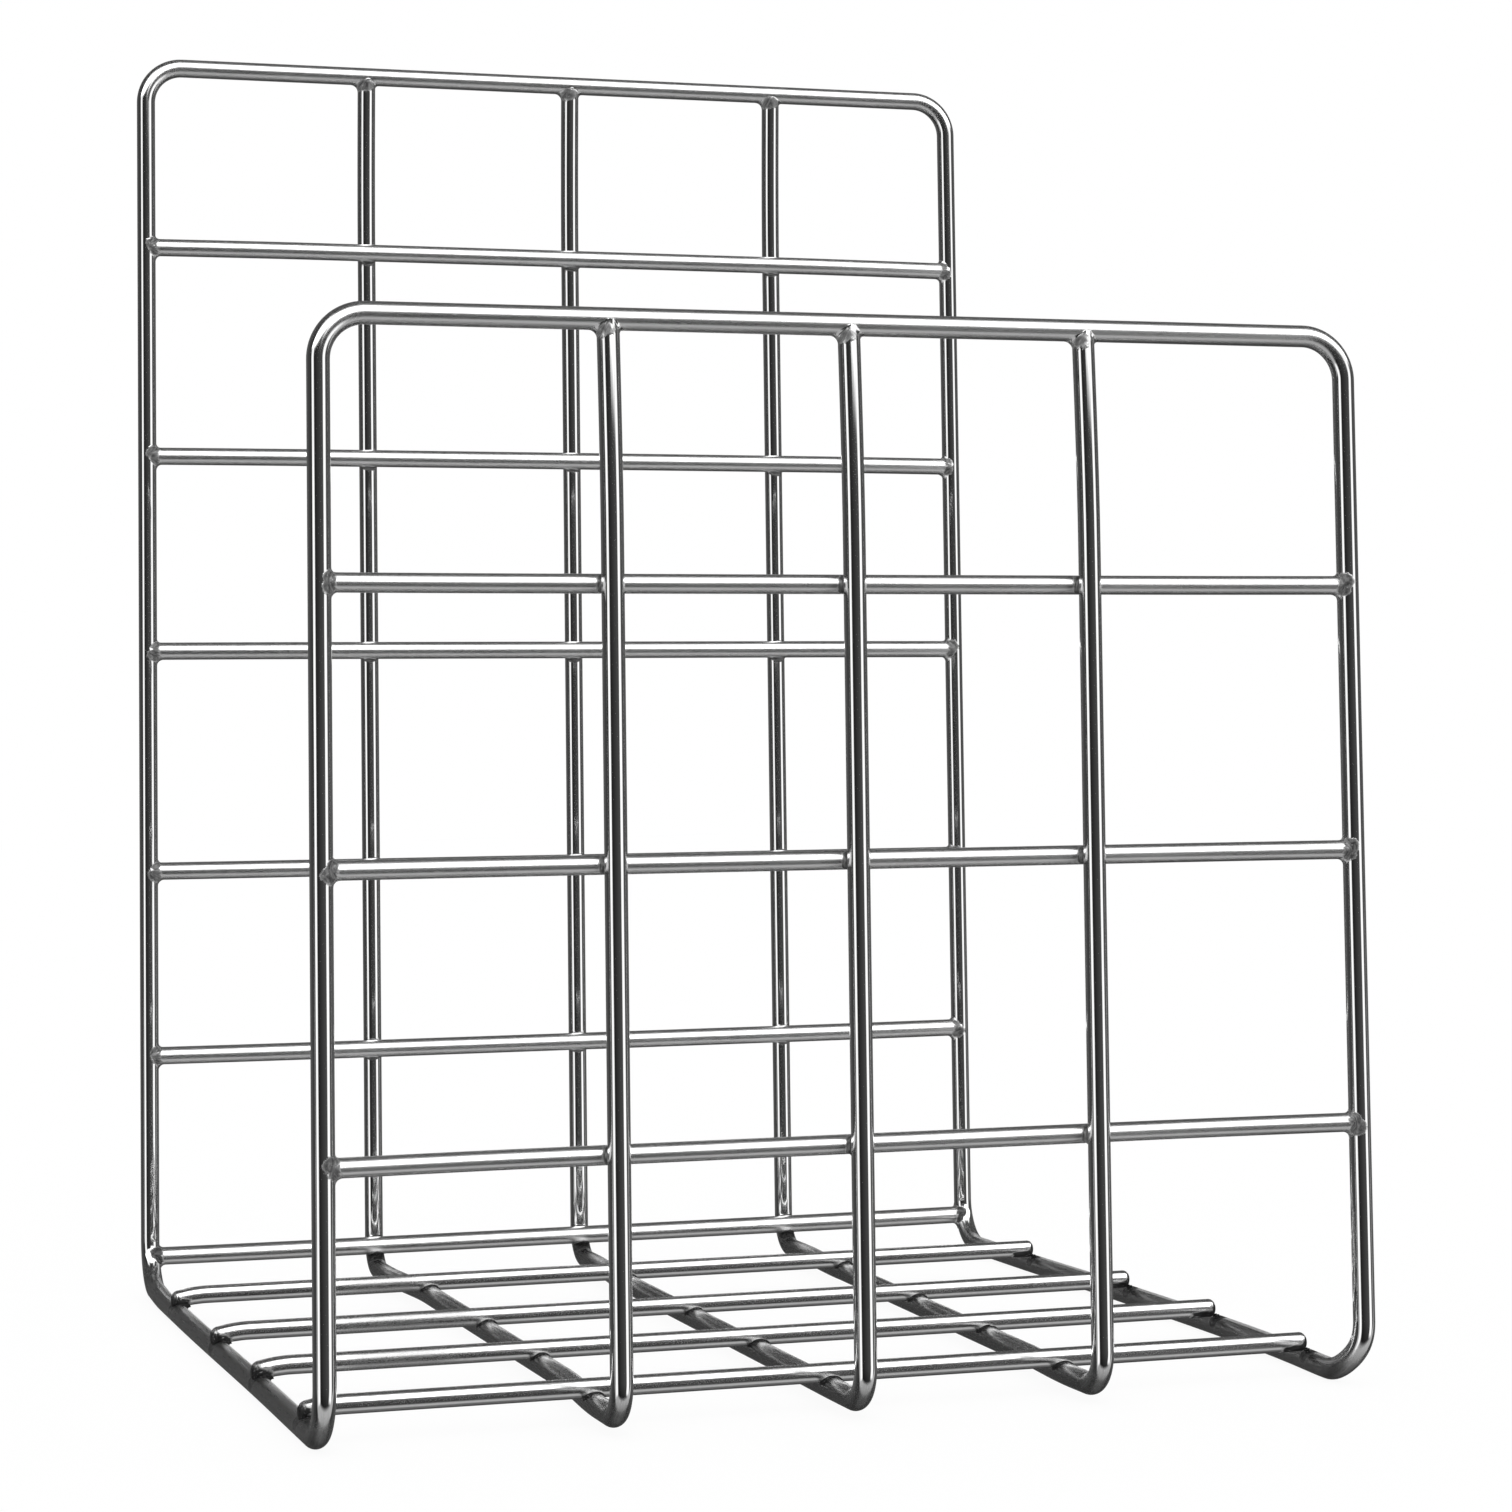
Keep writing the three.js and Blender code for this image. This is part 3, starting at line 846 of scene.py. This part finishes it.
# ---------------------------------------------------------------- frame wire
def frame_wire():
    back, front = (HALF_D, BACK_Z), (-HALF_D, FRONT_Z)
    back_floor, front_floor = (HALF_D, FLOOR_Z), (-HALF_D, FLOOR_Z)
    corners = [(-HALF_W, *back)]
    corners += [(HALF_W, *place) for place in (back, back_floor, front_floor, front)]
    corners += [(-HALF_W, *place) for place in (front, front_floor, back_floor)]
    radii = [RAIL_R, RAIL_R, FLOOR_R, FLOOR_R] * 2
    path = Path(corners, radii, closed=True)
    marks = [
        path.where(point)
        for point, _ in WELD_AND_SHADE_SPOTS
        if abs(abs(point[0]) - HALF_W) < 4
        or abs(point[2] - BACK_Z) < 4
        or abs(point[2] - FRONT_Z) < 4
    ]
    along = path.rings(marks, coarse=8.0)[:-1]
    places, headings = path.at(along)
    normals = transport(np.concatenate([headings, headings[:1]]), EZ)
    side = np.cross(headings[0], normals[0])
    angle = math.atan2(float(normals[-1] @ side), float(normals[-1] @ normals[0]))
    roll = -int(round(angle / (2 * math.pi / SEG)))
    level = np.abs(headings[:, 0])
    normals = normals[:-1].copy()

    # bow the floor sides, with their bends
    on_side = np.abs(np.abs(places[:, 0]) - HALF_W) < 1e-6
    low = (places[:, 2] < FLOOR_Z + FLOOR_R + 1e-6) & on_side
    for left, outward in ((True, -1.0), (False, 1.0)):
        here = low & ((places[:, 0] < 0) == left)
        y = places[here, 1]
        slope = outward * (bow(left, y + 0.01) - bow(left, y - 0.01)) / 0.02
        heading = headings[here]
        heading = unit(heading + EX * (slope * heading[:, 1])[:, None])
        places[here, 0] += outward * bow(left, y)
        headings[here] = heading
        normal = normals[here]
        normals[here] = unit(normal - heading * (normal * heading).sum(1)[:, None])
    round_wire = spokes(normals, np.cross(headings, normals))
    rings = places[:, None] + R_LONG * round_wire
    skin = Skin()
    skin.grid(rings, along, PHI, R_LONG, closed=True, roll=roll, level=level)
    return skin.build("perimeter_frame", "frame_wire")


# ---------------------------------------------------------------- inner wires
def inner_wire(name, seed):
    y_out = HALF_D + INNER_OUT
    low_z = FLOOR_Z + INNER_RISE
    corners = [(0, y_out, BACK_Z), (0, y_out, low_z), (0, -y_out, low_z), (0, -y_out, FRONT_Z)]
    path = Path(corners, [0, INNER_R, INNER_R, 0], closed=False)

    def bent(plain):
        """The drawn line of this wire, from the plain path."""
        places = plain.copy()
        y, z = plain[:, 1], plain[:, 2]
        places[:, 0] = inner_x(name, np.clip(y, -HALF_D, HALF_D), z)
        from_top = np.where(y > 0, BACK_Z, FRONT_Z) - z - JOINT_INSET
        places[:, 1] -= np.sign(y) * INNER_END_SET * drawn(from_top)
        return places

    marks = [path.where((0, y_out, z)) for z in BACK_ROWS]
    marks += [path.where((0, -y_out, z)) for z in FRONT_ROWS]
    marks += [path.where((0, y, low_z)) for y, _, _ in FLOOR_ROWS]
    along = path.rings(marks, coarse=7.0)
    last = path.length - LEAD
    along = np.concatenate([[LEAD], along[(along > LEAD) & (along < last)], [last]])
    plain, plain_headings = path.at(along)
    places = bent(plain)
    headings = unit(np.gradient(places, along, axis=0))
    near_end = (along < 60) | (along > path.length - 60)
    headings[near_end] = plain_headings[near_end]
    normals = unit(np.cross(EX, headings))
    round_wire = spokes(normals, np.cross(headings, normals))

    ends = []
    for side, rail_z, around, end_seed in (
        (1, BACK_Z, round_wire[0], seed),
        (-1, FRONT_Z, round_wire[-1], seed + 3),
    ):

        def axis_at(distance, side=side, rail_z=rail_z):
            z = rail_z - distance
            return bent(np.stack([np.zeros_like(z), np.full_like(z, side * y_out), z], -1))

        # the fillet is fuller on the left
        fillet = 1.25 - 0.45 * (around @ EX) + 0.12 * wobble(end_seed, PHI)
        rail = np.array([0, side * HALF_D, rail_z])
        ends.append(butt_end(axis_at, around, R_LONG, rail, EX, EZ, fillet, end_seed))
    rings = np.concatenate([ends[0][::-1], places[:, None] + R_LONG * round_wire, ends[1]])
    first_along = np.linspace(-4, LEAD - 0.5, len(ends[0]))
    last_along = np.linspace(last + 0.5, path.length + 4, len(ends[1]))
    skin = Skin()
    skin.grid(rings, np.concatenate([first_along, along, last_along]), PHI, R_LONG)
    return skin.build(name, "inner_wire")


# ---------------------------------------------------------------- cross wires
ROUND_CROSS = spokes(EZ[None], np.cross(EX, EZ)[None])[0]
TIP_STEPS = 10
TIP_LEAD_STEPS = 3
END_STRETCH = 8.0  # length beside each end part with 1 mm ring spacing


def name_seed(node):
    return sum(ord(char) for char in node) * 3


def cross_wire(node, axis_fn, radius, ends, low, high, laps, rim=None, dip=0.0):
    """axis_fn(x): the wire's axis. ends: rings of the left and right end, going outward.
    low, high: x where the body starts and stops. laps: lap_fillet arguments for each
    crossing. rim: weld value of each end ring."""
    marks = np.array([lap["x"] for lap in laps])
    body = []
    x = low
    while x < high - 1e-6:
        body.append(x)
        near, room = look_ahead(marks, x)
        if near:
            x += FINE
        elif (x - low) < END_STRETCH or (high - x) < END_STRETCH:
            x += 1.0
        else:
            x += min(7.0, room, max(1.0, high - END_STRETCH - x))
    body = np.array(body + [high])
    body_rings = axis_fn(body)[:, None] + radius * ROUND_CROSS[None]
    rings = np.concatenate([ends[0][::-1], body_rings, ends[1]])
    first_along = np.linspace(low - LEAD - 4, low - 0.4, len(ends[0]))
    last_along = np.linspace(high + 0.4, high + LEAD + 4, len(ends[1]))
    along = np.concatenate([first_along, body, last_along])
    weld = np.zeros(len(rings))
    if rim is not None:
        weld[:len(rim)] = rim[::-1]
        weld[-len(rim):] = rim
    skin = Skin(dip)
    skin.grid(rings, along, PHI, radius, weld=weld, level=1.0)
    for i, lap in enumerate(laps):
        on_axis = axis_fn(np.array([lap["x"]]))[0]
        lap_fillet(skin, on_axis, radius, name_seed(node) + 17 * i, **lap)
    return skin.build(node, "cross_wire")


def upright_cross_wire(node, z, side, radius):
    """A back (side 1) or front (side -1) cross wire, butted on the frame wire."""
    end_set = LOW_END_SET if node == "back_cross_wire_6" else CROSS_END_SET

    def axis_fn(x):
        inset = CROSS_IN - end_set * drawn(HALF_W - JOINT_INSET - np.abs(x))
        return np.stack([x, side * (HALF_D - inset), np.full_like(x, z)], -1)

    frame_y, frame_way = low_bend(z) if side > 0 else (-HALF_D, EZ)
    ends = []
    for end in (-1, 1):

        def axis_at(distance, end=end):
            return axis_fn(end * (HALF_W - distance))

        # the foot is fuller below the wire than above it
        seed = name_seed(node) + end
        fillet = 1.1 - 0.22 * (ROUND_CROSS @ EZ) + 0.10 * wobble(seed, PHI)
        foot = np.array([end * HALF_W, frame_y, z])
        ends.append(
            butt_end(axis_at, ROUND_CROSS, radius, foot, frame_way, end * EX, fillet, seed)
        )

    laps = []
    for name in INNER:
        x = float(inner_x(name, side * HALF_D, z))
        x_above = float(inner_x(name, side * HALF_D, z + 5))
        point = (x, side * (HALF_D + INNER_OUT), max(z, FLOOR_Z + INNER_RISE + INNER_R))
        way = unit([x_above - x, 0, 5.0])
        laps.append(dict(x=x, point=point, way=way, fillet=0.55, fuller=-1.0))
    return cross_wire(node, axis_fn, radius, ends, -HALF_W + LEAD, HALF_W - LEAD, laps)


def blunt_end(axis_fn, radius, tip, end, edge, seed):
    """Rings of a cut wire end with a rounded edge; end is -1 at the left, 1 at the right."""

    def ring(x, ring_radius):
        return axis_fn(np.full(SEG, x)) + ring_radius * ROUND_CROSS

    rows = []
    for k in range(1, TIP_LEAD_STEPS + 1):
        rows.append(ring(tip - end * (LEAD - (LEAD - edge) * k / TIP_LEAD_STEPS), radius))
    for k in range(1, TIP_STEPS + 1):
        angle = k / TIP_STEPS * math.pi / 2
        dent = 0.04 * wobble(seed, PHI + k, 1.2) * (k > 3)
        rounded = radius - edge * (1 - math.cos(angle)) + dent
        rows.append(ring(tip - end * edge * (1 - math.sin(angle)), rounded[:, None]))
    rows.append(ring(tip, 0.45 * (radius - edge)))
    return np.array(rows)


def floor_cross_wire(node, y, left, right, radius):
    """A floor cross wire, lying on the inner wires and the frame's floor sides."""

    def axis_fn(x):
        drop = FLOOR_END_SET * curled(x - left)
        return np.stack([x, np.full_like(x, y), FLOOR_Z + LAP - drop], -1)

    laps = []
    for name in INNER:
        x = float(inner_x(name, y, FLOOR_Z))
        way = unit([float(inner_x(name, y + 5, FLOOR_Z)) - x, 5.0, 0])
        laps.append(dict(x=x, point=(x, y, FLOOR_Z + INNER_RISE), way=way, fillet=0.32))
    for side, fillet, span in ((1, 0.28, (125, 235)), (-1, 0.45, (-112, 112))):
        x = side_x(side, y)
        way = unit([side_x(side, y + 1) - side_x(side, y - 1), 2.0, 0.0])
        span = tuple(math.radians(angle) for angle in span)
        laps.append(dict(x=x, point=(x, y, FLOOR_Z), way=way, fillet=fillet, span=span))

    seed = name_seed(node) + 9
    ends = [
        blunt_end(axis_fn, radius, left, end=-1, edge=1.3, seed=seed),
        blunt_end(axis_fn, radius, right, end=1, edge=1.2, seed=seed),
    ]
    darkening = np.clip((np.arange(1, TIP_STEPS + 1) - 4) / 3.0, 0, 1)
    rim = np.concatenate([np.zeros(TIP_LEAD_STEPS), darkening, [1.0]])
    low, high = left + LEAD, right - LEAD
    return cross_wire(node, axis_fn, radius, ends, low, high, laps, rim=rim, dip=1.0)


pieces = [frame_wire()]
for i, name in enumerate(INNER):
    pieces.append(inner_wire(name, seed=11 + i * 7))
for group, rows, side, thickness in (
    ("back", BACK_ROWS, 1, BACK_THICKNESS),
    ("front", FRONT_ROWS, -1, FRONT_THICKNESS),
):
    for i, z in enumerate(rows, 1):
        node = f"{group}_cross_wire_{i}"
        pieces.append(upright_cross_wire(node, z, side, R_CROSS * thickness))
for i, (row, thickness) in enumerate(zip(FLOOR_ROWS, FLOOR_THICKNESS), 1):
    pieces.append(floor_cross_wire(f"floor_cross_wire_{i}", *row, R_CROSS * thickness))
for piece in pieces:
    face_outward(piece)


# ---------------------------------------------------------------- studio, in metres
CAMERA_TURN = math.radians(-17.407)
CAMERA_TILT = math.radians(-3.245)
CAMERA_ROLL = math.radians(-0.76)
CAMERA_PLACE = (-0.21808, -0.742364, 0.118061)


def studio_floor(half_size=6.0, drop=0.00004, glow_share=0.93):
    """A white floor that mostly glows, just under the rack and unseen in reflections."""
    corners = [(x * half_size, y * half_size, 0) for x, y in ((-1, -1), (1, -1), (1, 1), (-1, 1))]
    mesh = bpy.data.meshes.new("studio_floor")
    mesh.from_pydata(corners, [], [(0, 1, 2, 3)])
    floor = bpy.data.objects.new("studio_floor", mesh)
    bpy.context.scene.collection.objects.link(floor)
    floor.location.z = -drop
    material = bpy.data.materials.new("studio_floor")
    material.use_nodes = True
    g = Nodes(material.node_tree)
    output = g.new("ShaderNodeOutputMaterial")
    diffuse = g.new("ShaderNodeBsdfDiffuse")
    glow = g.new("ShaderNodeEmission")
    for shader in (diffuse, glow):
        shader.inputs["Color"].default_value = (1, 1, 1, 1)
    glow.inputs["Strength"].default_value = 1.0
    mix = g.new("ShaderNodeMixShader")
    mix.inputs[0].default_value = glow_share
    g.put(mix.inputs[1], diffuse.outputs[0])
    g.put(mix.inputs[2], glow.outputs[0])
    g.put(output.inputs[0], mix.outputs[0])
    mesh.materials.append(material)
    floor.visible_glossy = False


def studio_light(g, direction):
    """Brightness by direction, in degrees: azimuth from the camera's side (positive to its
    right), elevation, and pitch, the angle up from the front in the YZ plane."""
    to_camera = (math.sin(CAMERA_TURN), -math.cos(CAMERA_TURN), 0.0)
    to_right = (math.cos(CAMERA_TURN), math.sin(CAMERA_TURN), 0.0)
    toward = g.vmath("DOT_PRODUCT", direction, to_camera)
    rightward = g.vmath("DOT_PRODUCT", direction, to_right)
    _, y, z = g.split(direction)
    degrees = 180 / math.pi
    azimuth = g.times(g.math("ARCTAN2", rightward, toward), degrees)
    elevation = g.times(g.math("ARCSINE", z), degrees)
    pitch = g.times(g.math("ARCTAN2", z, g.times(y, -1.0)), degrees)

    # the dark room behind the camera, and the room behind the rack
    dim = g.add(
        g.remap(azimuth, span=(-22, 46), to=(0.022, 0.085)),
        g.remap(azimuth, span=(-64, -84), to=(0.0, 0.04)),
    )
    turn = g.math("ABSOLUTE", azimuth)
    camera_side = g.remap(turn, span=(95, 130), to=(1.0, 0.0), smooth=True)
    behind = g.remap(elevation, span=(5, 60), to=(0.12, 0.10), smooth=True)
    room = g.mix(camera_side, behind, dim)
    room = g.times(room, g.remap(elevation, span=(-60, -10)))

    # two tall soft side panels
    left = g.times(
        g.band(azimuth, span=(-58, -36), soft=4.0),
        g.band(elevation, span=(-32, 62), soft=6.0),
    )
    right = g.times(
        g.band(azimuth, span=(53, 79), soft=4.0),
        g.band(elevation, span=(-32, 70), soft=6.0),
    )
    panels = g.times(g.math("MAXIMUM", left, right), 1.35)

    # a wide soft top panel, hanging lower over one band of azimuth
    lower_part = g.times(
        g.remap(pitch, span=(10, 17), smooth=True),
        g.band(azimuth, span=(16, 52), soft=5.0),
    )
    main_part = g.times(
        g.remap(pitch, span=(18, 28), smooth=True),
        g.remap(elevation, span=(14, 24), smooth=True),
    )
    top_edge = g.remap(pitch, span=(60, 70), to=(1.0, 0.0), smooth=True)
    top = g.times(g.times(g.math("MAXIMUM", lower_part, main_part), top_edge), 3.2)

    # the pale floor in front and underneath
    ground = g.times(g.band(pitch, span=(-80, -46), soft=6.0), 0.52)
    under = g.times(g.remap(elevation, span=(-48, -66)), 0.15)
    lamps = g.math("MAXIMUM", panels, top)
    return g.add(g.math("MAXIMUM", lamps, g.math("MAXIMUM", ground, under)), room)


def studio_world():
    """The studio as reflections see it; plain white to the camera and diffuse light."""
    world = bpy.data.worlds.new("studio")
    bpy.context.scene.world = world
    world.use_nodes = True
    g = Nodes(world.node_tree)
    output = g.new("ShaderNodeOutputWorld")
    background = g.new("ShaderNodeBackground")
    g.put(output.inputs[0], background.outputs[0])
    light = studio_light(g, g.new("ShaderNodeTexCoord").outputs["Generated"])
    ray = g.new("ShaderNodeLightPath").outputs
    plain = g.math("MAXIMUM", ray["Is Camera Ray"], ray["Is Diffuse Ray"])
    g.put(background.inputs["Color"], g.grey(g.mix(plain, light, 1.0)))
    background.inputs["Strength"].default_value = 1.0
    world.cycles.sampling_method = "NONE"


def studio_camera():
    data = bpy.data.cameras.new("camera")
    camera = bpy.data.objects.new("camera", data)
    bpy.context.scene.collection.objects.link(camera)
    data.sensor_fit = "HORIZONTAL"
    data.sensor_width = 36.0
    data.lens = 86.6397619
    data.shift_y = -0.12530489418
    data.clip_start = 0.01
    data.clip_end = 100
    turn_cos, turn_sin = math.cos(CAMERA_TURN), math.sin(CAMERA_TURN)
    tilt_cos, tilt_sin = math.cos(CAMERA_TILT), math.sin(CAMERA_TILT)
    roll_cos, roll_sin = math.cos(CAMERA_ROLL), math.sin(CAMERA_ROLL)
    right = np.array([turn_cos, turn_sin, 0.0])
    forward = np.array([-turn_sin * tilt_cos, turn_cos * tilt_cos, -tilt_sin])
    up = np.cross(right, forward)
    rolled_right = roll_cos * right + roll_sin * up
    rolled_up = -roll_sin * right + roll_cos * up
    matrix = Matrix.Identity(4)
    for i in range(3):
        matrix[i] = (rolled_right[i], rolled_up[i], -forward[i], CAMERA_PLACE[i])
    camera.matrix_world = matrix
    bpy.context.scene.camera = camera


studio_floor()
studio_world()
studio_camera()
bpy.context.scene.view_settings.view_transform = "Standard"
bpy.context.scene.view_settings.look = "None"
